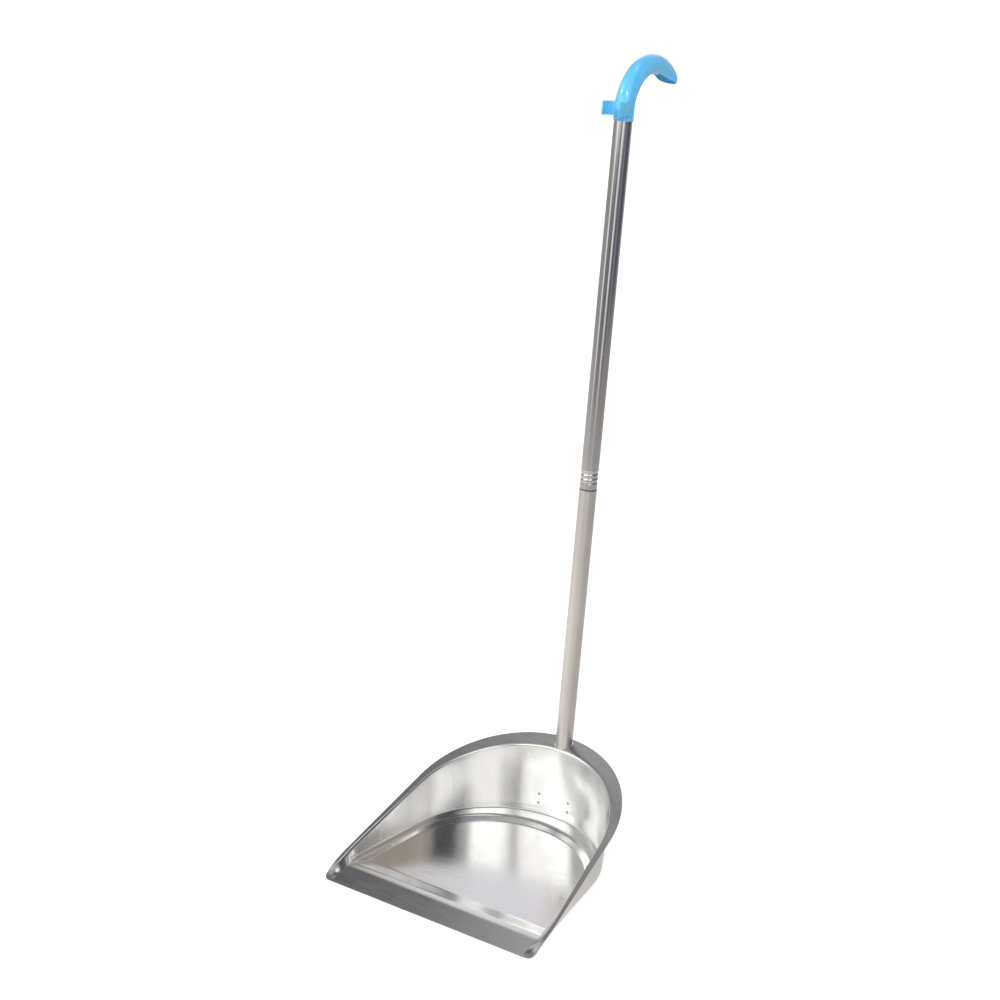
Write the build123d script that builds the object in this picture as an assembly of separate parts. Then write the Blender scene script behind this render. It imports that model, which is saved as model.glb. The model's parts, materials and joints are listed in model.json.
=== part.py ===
from build123d import *
from math import atan2, cos, degrees, radians, sin, tan
import os

# Lobby dustpan: a pressed steel pan with an upright handle of two tubes that screw together, topped by
# a plastic cap with a hanging hook and a broom clip.
# Millimetres, +Z up, lip towards -Y, handle at +Y. The functions below measure y from the lip's edge;
# the finished pieces are moved so that the origin is the middle of the flat floor's underside.

# Pan pressing
sheet = 0.7  # thickness of the pressed sheet
pan_depth = 249.2  # lip edge to the inside of the rear wall, at ledge height
mouth_half_width = 129.3  # middle to side wall at the lip, at ledge height
side_angle = 7.1  # degrees that each side wall closes in towards the back
wall_draft = 4.5  # degrees that the walls lean outwards
ledge_height = 6.0  # top of the ridge and of the ledge above the ground
ridge_setback = 30.5  # lip edge to ridge
floor_setback = 56.7  # lip edge to the front of the flat floor
ridge_radius = 26.0  # bend where the ramp turns level
wall_foot_radius = 4.5  # inside bend between walls and ledge
ledge_side_width = 6.5  # side wall to the edge of the step, at ledge height
ledge_back_width = 19.2  # rear wall to the edge of the step
step_side_run = 3.5  # width of the step down to the floor along the sides
step_back_run = 7.8  # the same along the back
step_corner_radius = 7.0  # front corners of the step, seen from above
step_edge_radius = 2.5  # bend along the top of the step
step_spread = 0.3  # share of the sheet by which the step is wider underneath, to keep its thickness
rim_front_height = 3.2  # rim above the ground at the lip
rim_slope = 18.1  # degrees that the rim rises towards the back
flange_side_reach = 3.8  # side wall at the lip, at ledge height, to the flange's edge
flange_side_angle = 4.1  # degrees that the flange's sides close in
flange_back_reach = 26.3  # rear wall, at ledge height, to the flange's rear edge
lip_corner_radius = 13.0  # corners between the lip and the flange's sides

# Handle tubes
tube_radius = 9.5
tube_wall = 0.5
tube_foot_height = 8.0  # lower end of the handle above the ground, along the handle
tube_wall_gap = 0.15  # between the rear wall and the tube beside it
hole_gap = 0.5  # around the tube where it passes through the flange
lower_tube_top = 384.8  # along the handle from the ground, as all heights below
handle_seat_gap = 0.1  # between parts that meet end to end at the screw joint and in the cap

# Strap and welds that hold the handle's foot
strap_thickness = 1.0
strap_gap = 0.1  # between the strap and the tube
strap_bottom = 11.0
strap_height = 23.0
strap_ear_reach = 28.5  # middle to the end of each ear
weld_radius = 2.0
weld_half_spacing = 19.0  # middle to each column of welds
weld_heights = (17.0, 27.5)
weld_dimple = 0.15
weld_gap = 0.02

# Screw joint
collar_height = 1.0
spigot_insertion = 30.0  # length pressed into the lower tube
spigot_gap = 0.02  # between spigot and lower tube
spigot_bore_radius = 5.5
spigot_rise = 23.0  # threaded length above the collar
spigot_chamfer = 1.0
socket_length = 22.0  # reduced lower end of the upper tube
socket_reduction = 0.2  # radius lost there
thread_clearance = 0.1  # between the spigot and the socket
thread_pitch = 5.0
thread_turns = 2.75
thread_start = 6.0  # lowest end of the rolled thread above the collar
thread_start_angle = 180.0
thread_depth = 0.55
thread_groove_radius = 1.2  # rolled groove, outside
groove_clearance = 0.3  # around the rolled thread in the spigot's groove
groove_lead = 0.15  # extra turns of the spigot's groove below the thread

# Cap with hook and broom clip
cap_wall = 0.75
cap_gap = 0.05  # between the cap and the tube that turns in it
cap_bottom = 774.0
cap_sleeve_length = 13.2
cap_stop_thickness = 1.2  # inner ring that the tube's end meets
cap_stop_step = 0.8
neck_radius = 31.3  # first bend of the hook
neck_turn = 24.7
hook_radius = 52.4  # main bend of the hook
hook_turn = 135.0
hook_mouth_setback = 11.0  # crown of the hook to the inner end of its mouth
hook_mouth_rise = 1.2  # that end above the underside of the crown
hook_mouth_slope = 14.3  # degrees that the mouth falls from there towards the tip
clip_bore_radius = 10.5
clip_wall = 2.0
clip_height = 14.0
clip_rise = 5.3  # cap's lower edge to the clip's lower edge
clip_set = 0.5  # between the neck and the clip's bore
clip_mouth_half_angle = 56.0  # middle of the mouth to the end of each arm, about the bore

# Worked out from the sizes above
floor_back = pan_depth - ledge_back_width - step_back_run
floor_middle = (floor_setback + floor_back) / 2
flange_half_width = mouth_half_width + flange_side_reach
flange_depth = pan_depth + flange_back_reach
ramp_angle = degrees(atan2(ledge_height - sheet, ridge_setback))
draft_run = tan(radians(wall_draft))
handle_offset = (sheet + tube_wall_gap + tube_radius) / cos(radians(wall_draft))
handle_foot_y = pan_depth - ledge_height * draft_run + handle_offset
collar_top = lower_tube_top + collar_height
socket_bottom = collar_top + handle_seat_gap
socket_radius = tube_radius - socket_reduction
bend_start = cap_bottom + cap_sleeve_length
upper_tube_top = bend_start - handle_seat_gap
cap_radius = tube_radius + cap_gap + cap_wall
thread_centre_radius = socket_radius - thread_depth + thread_groove_radius
thread_bottom = collar_top + thread_start
beyond = 400.0  # longer than any side of the pan, for cuts
touch = 0.01  # closer than this counts as touching

# The handle's own frame: z along the tubes from the ground, y towards the back, square to them
handle_frame = Pos(0, handle_foot_y, 0) * Rot(X=-wall_draft)
rim_plane = Plane(
    origin=(0, 0, rim_front_height),
    x_dir=(1, 0, 0),
    z_dir=(0, -sin(radians(rim_slope)), cos(radians(rim_slope))),
)


def u_outline(half_width, angle, front, back):
    """A face closed by a front line, two sides that close in by angle, and an arc tangent to both.

    half_width is taken at the lip's edge, y = 0.
    """
    closing = tan(radians(angle))
    tangent_share = cos(radians(angle)) - closing * (1 - sin(radians(angle)))
    radius = (half_width - closing * back) / tangent_share
    turn_x = radius * cos(radians(angle))
    turn_y = back - radius + radius * sin(radians(angle))
    front_x = half_width - closing * front
    outline = [
        Line((-front_x, front), (-turn_x, turn_y)),
        ThreePointArc((-turn_x, turn_y), (0, back), (turn_x, turn_y)),
        Line((turn_x, turn_y), (front_x, front)),
        Line((front_x, front), (-front_x, front)),
    ]
    return make_face(outline)


def wall_block(grow):
    """All that the walls enclose, from below the ground to above the rim, grown outwards by grow."""
    depth_below = 2 * ledge_height
    shrink = (ledge_height + depth_below) * draft_run - grow / cos(radians(wall_draft))
    half_width = mouth_half_width - shrink / cos(radians(side_angle))
    face = u_outline(half_width, side_angle, -ridge_setback, pan_depth - shrink)
    return extrude(Pos(0, 0, -depth_below) * face, amount=beyond / 2, dir=(0, 0, 1), taper=-wall_draft)


def under_block(grow):
    """All that lies under the ramp and the ledge, lowered by grow."""
    top = ledge_height - grow
    lip_top = (sheet - grow) / cos(radians(ramp_angle))
    front = -2 * ridge_setback
    front_top = lip_top + front * tan(radians(ramp_angle))
    kink_y = (top - lip_top) / tan(radians(ramp_angle))
    corners = [(front, front_top), (kink_y, top), (beyond, top), (beyond, -beyond), (front, -beyond)]
    face = Plane.YZ * make_face(Polyline(*corners, close=True))
    kink = face.vertices().sort_by_distance((0, kink_y, top))[0]
    return extrude(fillet(kink, ridge_radius), amount=beyond / 2, both=True)


def step_block(grow):
    """The recess over the floor, between the step's upper and lower outlines, grown by grow."""
    spread = step_spread * grow
    faces = []
    for height, side, back, front in (
        (ledge_height, ledge_side_width, ledge_back_width, ridge_setback),
        (sheet, ledge_side_width + step_side_run, ledge_back_width + step_back_run, floor_setback),
    ):
        half_width = mouth_half_width - (side - spread) / cos(radians(side_angle))
        face = u_outline(half_width, side_angle, front - spread, pan_depth - back + spread)
        corners = face.vertices().sort_by(Axis.Y)[:2]
        faces.append(Pos(0, 0, height - grow) * fillet(corners, step_corner_radius))
    return loft(faces, ruled=True)


def pan_volume(grow):
    """The space inside the pan, open at the front and top, grown outwards by grow."""
    top = ledge_height - grow
    volume = wall_block(grow) - under_block(grow)
    foot = [
        edge
        for edge in volume.edges()
        if edge.geom_type != GeomType.LINE
        and edge.bounding_box().max.Z < top + touch
        and edge.center().Y > -ridge_setback / 2
    ]
    volume = fillet(foot, wall_foot_radius + grow)
    step = step_block(grow)
    volume += step
    halfway = (top + sheet - grow) / 2
    head = [
        edge
        for edge in volume.edges()
        if edge.bounding_box().min.Z > halfway
        and step.distance_to(Vertex(*(edge @ 0.5))) < touch
    ]
    return fillet(head, step_edge_radius - grow)


def flange_outline():
    """The flange's outer edge and the lip, seen from above."""
    face = u_outline(flange_half_width, flange_side_angle, 0, flange_depth)
    return fillet(face.vertices().sort_by(Axis.Y)[:2], lip_corner_radius)


def make_pan():
    """The pressing: its sheet, the flange in the rim's plane, the handle's hole and the weld holes."""
    inside = pan_volume(0)
    outside = pan_volume(sheet)
    side = 2 * beyond
    above_rim = rim_plane * Box(side, side, side, align=(Align.CENTER, Align.CENTER, Align.MIN))
    flange_layer = rim_plane * Box(side, side, sheet, align=(Align.CENTER, Align.CENTER, Align.MAX))
    seen_from_above = extrude(Pos(0, 0, -beyond / 2) * flange_outline(), amount=beyond)
    shell = outside - inside - above_rim
    flange = flange_layer - inside - handle_hole()
    pan = (shell + flange) & seen_from_above
    return pan - weld_holes()


def handle_hole():
    """The round hole that the handle takes in the flange."""
    radius = tube_radius + hole_gap
    middle = rim_front_height + handle_foot_y * tan(radians(rim_slope))
    return handle_frame * Pos(0, 0, middle) * Cylinder(radius, 4 * radius)


def weld_pins(radius):
    """Round pins through the rear wall and the strap's ears, one at each weld."""
    length = 4 * (sheet + strap_thickness) + tube_radius
    pins = []
    for height in weld_heights:
        for side in (-1, 1):
            place = Pos(side * weld_half_spacing, -tube_radius, height) * Rot(X=90)
            pins.append(handle_frame * place * Cylinder(radius, 2 * length))
    return pins


def weld_holes():
    return weld_pins(weld_radius + weld_gap)


def make_spot_welds():
    """The four nuggets, dimpled below the faces of the wall and of the ears."""
    layer = wall_block(sheet + strap_thickness - weld_dimple) - wall_block(weld_dimple)
    nuggets = []
    for pin in weld_pins(weld_radius):
        nuggets += (pin & layer).solids().sort_by(Axis.Y)[-1:]
    return Compound(children=nuggets)


def make_handle_strap():
    """An omega strap: a half round behind the tube, two legs, and ears that lie on the rear wall."""
    inner = tube_radius + strap_gap
    outer = inner + strap_thickness
    reach = tube_radius + tube_wall_gap + strap_ear_reach
    band = Circle(outer) + Pos(0, -reach / 2) * Rectangle(2 * outer, reach)
    hollow = Circle(inner) + Pos(0, -reach / 2) * Rectangle(2 * inner, reach)
    rise = Pos(0, 0, strap_bottom)
    omega = handle_frame * rise * extrude(band - hollow, amount=strap_height)
    ears_span = Rectangle(2 * strap_ear_reach, 2 * reach) - Rectangle(2 * inner, 2 * reach)
    ears = handle_frame * rise * extrude(ears_span, amount=strap_height)
    ears = ears & (wall_block(sheet + strap_thickness) - wall_block(sheet))
    return omega - wall_block(sheet) + ears - weld_holes()


def rod(radius, bottom, top):
    """A solid round bar along the handle."""
    return Pos(0, 0, bottom) * extrude(Circle(radius), amount=top - bottom)


def ring(outer, inner, bottom, top):
    """A straight tube along the handle."""
    return rod(outer, bottom, top) - rod(inner, bottom, top)


def thread_rope(radius, turns, lead):
    """A round rope along the thread's helix, begun lead turns below the rolled thread."""
    start = thread_bottom - lead * thread_pitch
    helix = Helix(thread_pitch, turns * thread_pitch, thread_centre_radius)
    section = Plane(origin=helix @ 0, z_dir=helix % 0) * Circle(radius)
    rope = sweep(section, path=helix, is_frenet=True)
    return Pos(0, 0, start) * Rot(Z=thread_start_angle - 360 * lead) * rope


def make_lower_tube():
    return handle_frame * ring(tube_radius, tube_radius - tube_wall, tube_foot_height, lower_tube_top)


def make_thread_spigot():
    """A hollow plug in the lower tube, its collar, and a threaded nose with a groove open at the top."""
    plug_radius = tube_radius - tube_wall - spigot_gap
    plug_bottom = lower_tube_top - spigot_insertion
    plug = rod(plug_radius, plug_bottom, lower_tube_top)
    collar = rod(tube_radius, lower_tube_top, collar_top)
    nose_radius = socket_radius - tube_wall - thread_clearance
    nose_top = collar_top + spigot_rise
    nose = rod(nose_radius, collar_top, nose_top)
    nose = chamfer(nose.faces().sort_by(Axis.Z)[-1].edges(), spigot_chamfer)
    groove_radius = thread_groove_radius + tube_wall + groove_clearance
    groove_turns = (nose_top + groove_radius - thread_bottom) / thread_pitch + 2 * groove_lead
    groove = thread_rope(groove_radius, groove_turns, groove_lead)
    grooved_bar = rod(nose_radius, collar_top, nose_top + 2 * thread_pitch) - groove
    bore = rod(spigot_bore_radius, plug_bottom, nose_top)
    return handle_frame * (plug + collar + (nose & grooved_bar) - bore)


def make_upper_tube():
    """The upper tube, its lower end reduced to a socket with the thread rolled into it."""
    socket_top = socket_bottom + socket_length
    outline = [
        (socket_radius, socket_bottom),
        (socket_radius, socket_top),
        (tube_radius, socket_top + socket_reduction),
        (tube_radius, upper_tube_top),
        (tube_radius - tube_wall, upper_tube_top),
        (tube_radius - tube_wall, socket_top + socket_reduction),
        (socket_radius - tube_wall, socket_top),
        (socket_radius - tube_wall, socket_bottom),
    ]
    tube = revolve(Plane.XZ * make_face(Polyline(*outline, close=True)), axis=Axis.Z)
    ridge = thread_rope(thread_groove_radius + tube_wall, thread_turns, 0)
    inside_wall = rod(socket_radius - tube_wall / 2, socket_bottom, socket_top)
    groove = thread_rope(thread_groove_radius, thread_turns, 0)
    return handle_frame * (tube + (ridge & inside_wall) - groove)


def make_hook_cap():
    """The cap: a sleeve on the tube, the hollow hook that grows out of it, and the broom clip."""
    bore_radius = tube_radius + cap_gap
    sleeve = Line((0, cap_bottom), (0, bend_start))
    neck = JernArc(sleeve @ 1, sleeve % 1, neck_radius, -neck_turn)
    arch = JernArc(neck @ 1, neck % 1, hook_radius, -hook_turn)
    path = Plane.YZ * (sleeve + neck + arch)
    skin = Pos(0, 0, cap_bottom) * (Circle(cap_radius) - Circle(bore_radius))
    hook = sweep(skin, path=path)
    crown = arch.arc_center + Vector(0, hook_radius - cap_radius)
    hook -= hook_mouth_cut(crown)
    stop_top = bend_start + cap_stop_thickness
    stop = ring(bore_radius + cap_wall / 2, bore_radius - cap_stop_step, bend_start, stop_top)
    bore = rod(bore_radius, cap_bottom, bend_start)
    return handle_frame * (hook + stop + (make_clip() - bore))


def hook_mouth_cut(crown):
    """What is cut off under the hook's outer half, behind the underside of its crown."""
    reach = 2 * hook_radius
    inner_end = crown + Vector(hook_mouth_setback, hook_mouth_rise)
    fall = reach * tan(radians(hook_mouth_slope))
    corners = [
        inner_end,
        inner_end + Vector(reach, -fall),
        inner_end + Vector(reach, -reach),
        inner_end + Vector(0, -reach),
    ]
    face = Plane.YZ * make_face(Polyline(*corners, close=True))
    return extrude(face, amount=2 * cap_radius, both=True)


def make_clip():
    """A C-shaped spring clip in front of the neck, on a root as wide as the cap."""
    centre_y = -(cap_radius + clip_set + clip_bore_radius)
    middle_radius = clip_bore_radius + clip_wall / 2
    sweep_angle = 180 - clip_mouth_half_angle
    arms = [
        JernArc((0, centre_y + middle_radius), (side, 0), middle_radius, -side * sweep_angle)
        for side in (-1, 1)
    ]
    root = Pos(0, centre_y / 2) * Rectangle(2 * cap_radius, -centre_y)
    face = trace(arms, clip_wall) + (root - Pos(0, centre_y) * Circle(clip_bore_radius))
    return Pos(0, 0, cap_bottom + clip_rise) * extrude(face, amount=clip_height)


makers = {
    "pan": make_pan,
    "handle_strap": make_handle_strap,
    "spot_welds": make_spot_welds,
    "lower_tube": make_lower_tube,
    "thread_spigot": make_thread_spigot,
    "upper_tube": make_upper_tube,
    "hook_cap": make_hook_cap,
}
os.makedirs("parts", exist_ok=True)
for name, make in makers.items():
    export_step(Pos(0, -floor_middle, 0) * make(), f"parts/{name}.step")
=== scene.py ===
"""Looks of an upright dustpan: pressed steel pan, two-piece tube handle, blue hook cap with broom clip."""
import json
from math import acos, atan2, cos, pi, radians, sin, sqrt, tan

import bmesh
import bpy
import numpy as np
from bpy.props import FloatProperty, FloatVectorProperty, PointerProperty
from mathutils import Euler, Matrix, Vector


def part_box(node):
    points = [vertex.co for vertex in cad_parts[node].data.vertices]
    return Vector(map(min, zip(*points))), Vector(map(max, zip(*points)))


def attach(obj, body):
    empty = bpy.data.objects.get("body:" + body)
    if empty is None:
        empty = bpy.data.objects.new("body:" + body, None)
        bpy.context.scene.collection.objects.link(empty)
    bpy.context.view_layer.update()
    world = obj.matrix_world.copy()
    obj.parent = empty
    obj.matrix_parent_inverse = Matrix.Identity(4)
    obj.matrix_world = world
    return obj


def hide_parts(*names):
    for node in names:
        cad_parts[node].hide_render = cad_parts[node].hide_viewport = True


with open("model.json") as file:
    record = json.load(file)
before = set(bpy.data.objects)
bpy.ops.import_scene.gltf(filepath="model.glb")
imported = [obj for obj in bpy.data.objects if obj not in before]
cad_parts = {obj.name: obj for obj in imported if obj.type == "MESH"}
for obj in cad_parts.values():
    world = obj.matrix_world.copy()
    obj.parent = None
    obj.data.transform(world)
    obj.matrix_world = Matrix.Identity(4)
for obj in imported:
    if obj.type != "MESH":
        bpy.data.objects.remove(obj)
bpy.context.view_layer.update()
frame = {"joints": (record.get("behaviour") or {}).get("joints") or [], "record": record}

bl_info = {
    "name": "Upright dustpan",
    "version": (1, 0, 0),
    "blender": (4, 5, 0),
    "location": "View3D > Sidebar > Dustpan",
    "description": "Builds the visible pieces of an upright dustpan on its packed frame, and its stage",
    "category": "Object",
}

# Places read from the frame, in metres
LIP_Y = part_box("pan")[0].y
TURN = next(joint for joint in frame["joints"] if joint["name"] == "unscrew_turn")
CLIP = next(mount for mount in frame["record"]["mounts"] if mount["name"] == "broom_clip")
COLOURS = {slot["slot"]: slot["base_color"] for slot in frame["record"]["materials"]}
LEAN = atan2(TURN["axis"][1], TURN["axis"][2])
COLLAR_TOP = TURN["pos_m"][2] / cos(LEAN)  # along the handle from the ground, as all heights below
FOOT_Y = TURN["pos_m"][1] - COLLAR_TOP * sin(LEAN)
HANDLE = Matrix.Translation((0, FOOT_Y, 0)) @ Matrix.Rotation(-LEAN, 4, "X")
TUBE_RADIUS = (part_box("lower_tube")[1].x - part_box("lower_tube")[0].x) / 2

# Meshes
MERGE_WITHIN = 1e-7
LEAST_EDGE = 1e-8
SHORTEST = 1e-9  # keeps a length that is divided by above zero
FLATTEST = 1e-3  # the same for the tangent of half a bend
TURNED_SEGMENTS = 128

# Rolled thread, in turns
THREAD_TURNS = 2.75
THREAD_FADE = 0.12  # over which the groove ends at its top
THREAD_RUN_OUT = 0.7  # over which the groove runs out at its lower end
THREAD_BEARING = 0.25  # from the front to the thread's lower end
THREAD_LEAD = 0.15  # by which the spigot's groove begins below the thread

# Spot welds: each ring's share of the radius, and its height above the sheet
WELD_RINGS = ((1.0, -0.0001), (0.94, 0.00006), (0.7, 0.00002), (0.35, -0.00002), (0.0, 0.0))
WELD_SEGMENTS = 24

# Surfaces, with scales per metre
NOISE_RANGE = (0.3, 0.7)  # what most of a noise fills
CLOUD_RANGE = (0.94, 1.05)  # of the colour, from the darkest cloud to the lightest
STEEL_CLOUDS = 9.0
FINE_DETAIL = 6.0
FINE_ROUGH = 0.7  # of the noise itself
FINE_DULLS = 0.03  # how far the fine grain changes the roughness
FINE_HEIGHT = 0.000001
FINE_STRENGTH = 0.3
SMEAR_STRETCH = 0.12  # smears against the fine grain
SMEAR_DULLS = 0.05
WAVE_DETAIL = 1.5
STEELS = {  # fine grain and slow waves along each axis, and the waves' height
    "pan_steel": ((260, 2600, 260), (14, 10, 14), 0.0004),
    "lower_tube_steel": ((700, 700, 9), (25, 25, 6), 0.0001),
    "upper_tube_steel": ((500, 500, 6), (20, 20, 5), 0.00008),
    "strap_steel": ((1500, 1500, 120), (30, 30, 30), 0.0002),
    "weld_steel": ((900, 900, 900), (300, 300, 300), 0.0002),
}
MOULDING_CLOUDS = 55.0
SCUFF_STRETCH = (1, 1, 0.3)
SCUFFS = 420.0
SCUFF_DETAIL = 5.0
SCUFF_DULLS = (-0.05, 0.08)
SKIN = 900.0
SKIN_DETAIL = 3.0
SKIN_STRENGTH = 0.5
PLASTIC_IOR = 1.5
COAT_ROUGH = 0.08
MOULDINGS = {  # height of the surface texture, and weight of the gloss coat
    "spigot_plastic": (0.00003, 0.0),
    "cap_plastic": (0.00001, 1.0),
}

# Stage: bearings in degrees from the lip's side towards +X, rises in degrees above the floor
FLOOR_REACH = 30.0
FLOOR_ROUGH = 0.9
TENT_RADIUS = 3.0
TENT_COLUMNS = 145
TENT_ROWS = 60
TENT_TOP = 89
TENT_BASE = (0.52, 0.51, 0.48)
# The panels glow and are no lamps: painted reflections of a studio, the bright ones painted highlights and
# the dark ones painted dark reflections.
PANELS = (  # name, middle bearing, half width, lowest and highest rise, feather, brightness
    ("ceiling", 0, 180, 51, 95, 8, (0.38, 0.38, 0.39)),
    ("ceiling_front", -25, 55, 56, 82, 12, (0.52, 0.51, 0.5)),
    ("ceiling_right", 118, 34, 48, 76, 8, (0.1, 0.1, 0.11)),
    ("back_right", 165, 24, -5, 55, 8, (0.45, 0.44, 0.44)),
    ("brown_right", 134, 13, 22, 46, 8, (0.5, 0.42, 0.34)),
    ("left_softbox", -26, 35, 15, 44, 9, (2.1, 2.07, 2.02)),
    ("right_softbox", 43, 26, 19, 47, 9, (1.25, 1.22, 1.18)),
    ("right_softbox_low", 48, 14, 12, 24, 6, (1.65, 1.62, 1.58)),
    ("right_softbox_top", 45, 22, 35, 48, 7, (2.1, 2.08, 2.05)),
    ("right_skirt", 112, 42, -5, 25, 8, (0.25, 0.24, 0.25)),
    ("dark_right", 101, 17, 25, 60, 10, (0.07, 0.07, 0.08)),
    ("back_left", -158, 16, 18, 42, 5, (0.87, 0.85, 0.89)),
    ("back_left_upper", -153, 12, 44, 52, 5, (0.6, 0.6, 0.62)),
    ("dark_back", -122, 15, 34, 51, 5, (0.11, 0.11, 0.12)),
    # Panels aimed at single places on the pan: painted dark reflection on its left flange, painted highlights
    # on its step, painted dark reflections in its trough, painted highlight along its rim.
    ("left_flange", -105, 19, 49, 62, 5, (0.18, 0.18, 0.19)),
    ("step_light", -67, 11, 56, 67, 5, (1.3, 1.28, 1.3)),
    ("step_light_right", -87, 10, 39, 50, 5, (1.1, 1.08, 1.1)),
    ("trough", -132, 16, 62, 83, 4, (0.1, 0.1, 0.11)),
    ("trough_back", 180, 36, 60, 73, 4, (0.06, 0.06, 0.07)),
    ("rim_light", 175, 48, 77, 88, 4, (1.6, 1.58, 1.6)),
    ("low_ring", 0, 180, -5, 14, 4, (0.42, 0.4, 0.39)),
    ("low_gap", 4, 24, 2, 16, 4, (0.15, 0.15, 0.15)),
    ("low_dark_right", 100, 48, -5, 14, 4, (0.13, 0.13, 0.16)),
    ("low_grey_right", 86, 9, -5, 14, 6, (0.3, 0.3, 0.36)),
    ("low_line_left", -32, 7, 1, 17, 5, (1.3, 1.28, 1.27)),
    ("low_line_right", 38, 7, 1, 17, 5, (1.2, 1.21, 1.24)),
)
MAT_HEIGHT = 0.0002
MAT_COLUMNS = 73
MAT_ROWS = 40
MAT_INNER = 0.01  # share of the tent's radius
MAT_COLOUR = (0.86, 0.83, 0.79)
# Painted shade on the floor as reflections see it: lightest at this bearing, darker on the far side from it,
# and fading far away.
MAT_PAINTED_LIT_BEARING = -50  # bearing
MAT_PAINTED_SHADE_SWING = 0.28
MAT_PAINTED_FADE = 0.45
MAT_NEAR, MAT_FAR = 0.5, 2.4
LAMP_DISTANCE = 2.5
LAMP_AIM = (0, 0.1, 0.4)
LAMP_SIZE = 0.9
LAMPS = (("left_lamp", -50, 45, 1.0), ("right_lamp", 40, 45, 0.8))  # name, bearing, rise, share of the key
CAP_AIM = (0, 0.18, 0.8)
CAP_LAMP_SIZE = 0.55
CAP_LAMPS = (("left_cap_lamp", -53, 37, 0.8), ("right_cap_lamp", 34, 42, 0.8))


def low_end(node_name, radius):
    """Height along the handle of a round node's lower end."""
    return (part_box(node_name)[0].z + radius * sin(LEAN)) / cos(LEAN)


def high_end(node_name, radius):
    """Height along the handle of a round node's upper end."""
    return (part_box(node_name)[1].z - radius * sin(LEAN)) / cos(LEAN)


def size(label, about, metres):
    return FloatProperty(name=label, description=about, default=metres, unit="LENGTH", precision=5)


def angle(label, about, degrees):
    return FloatProperty(name=label, description=about, default=radians(degrees), subtype="ANGLE")


def share(label, about, value):
    return FloatProperty(name=label, description=about, default=value, subtype="FACTOR", min=0, max=1)


def strength(label, about, value):
    return FloatProperty(name=label, description=about, default=value, min=0)


def paint(label, about, colour):
    return FloatVectorProperty(
        name=label, description=about, default=colour, subtype="COLOR", size=3, min=0, max=1
    )


class PanSizes(bpy.types.PropertyGroup):
    """The pressing. Depths run from the lip's edge, and widths from the middle at the lip."""

    sheet: size("Sheet", "Thickness of the pressed sheet", 0.0007)
    depth: size("Depth", "Lip to the inside of the rear wall, at ledge height", 0.2492)
    mouth: size("Mouth", "Middle to the side wall at the lip, at ledge height", 0.1293)
    closing: angle("Closing", "How far each side wall closes in towards the back", 7.1)
    ledge: size("Ledge height", "Top of the ridge and of the ledge above the ground", 0.006)
    ridge: size("Ridge", "Lip to ridge", 0.0283)
    crest: size("Crest", "Level strip behind the ridge", 0.0076)
    ridge_bend: size("Ridge bend", "Half the length over which the ridge turns", 0.0013)
    floor: size("Floor", "Lip to the front of the flat floor", 0.0567)
    floor_bend: size("Floor bend", "Half the length over which the front slope meets the floor", 0.003)
    ledge_side: size("Side ledge", "Side wall to the step", 0.0065)
    ledge_back: size("Back ledge", "Rear wall to the step", 0.0192)
    step_side: size("Side step", "Width of the step along the sides", 0.0035)
    step_back: size("Back step", "Width of the step along the back", 0.0078)
    step_brow: share("Step brow", "Upper bend of the step on either side, as a share of its width", 0.35)
    step_toe: share("Step toe", "Lower bend of the step on either side, as a share of its width", 0.12)
    foot_front: size("Front foot", "Bend between wall and ramp", 0.0014)
    foot_back: size("Back foot", "Bend between wall and ledge", 0.0018)
    foot_line: size("Foot line", "Middle to the wall's foot along the ramp", 0.1184)
    foot_tip: size("Foot tip", "How much further out the foot starts at the lip", 0.0018)
    foot_join: size("Foot join", "Depth at which the foot has swung out to the plain wall", 0.052)
    rim_front: size("Rim front", "Rim's plane above the ground at the lip", 0.0032)
    rim_slope: angle("Rim slope", "Rise of the rim towards the back", 18.1)
    bead: size("Bead", "Radius of the rim's bend", 0.0039)
    droop: size("Droop", "Depth over which the rim comes down to the lip", 0.025)
    curl_start: size("Curl start", "Lip to the place where the rim leaves the wall's foot", 0.001)
    curl: size("Curl", "Depth over which the rim then swings out to the wall", 0.009)
    flange_side: size("Side flange", "Side wall to the flange's edge at the lip", 0.0038)
    flange_back: size("Back flange", "Rear wall to the flange's edge", 0.0263)
    flange_closing: angle("Flange closing", "How far the flange's sides close in", 4.1)
    flange_pinch: size("Flange pinch", "How far the flange's edge bows in at the lip", 0.0036)
    flange_bow: size("Flange bow", "Depth over which the flange's edge bows in", 0.045)
    corner: size("Corner", "Corner between the lip and the flange's edge, from above", 0.008)
    hole: size("Hole", "Gap round the handle where it passes through the flange", 0.0005)


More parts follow.
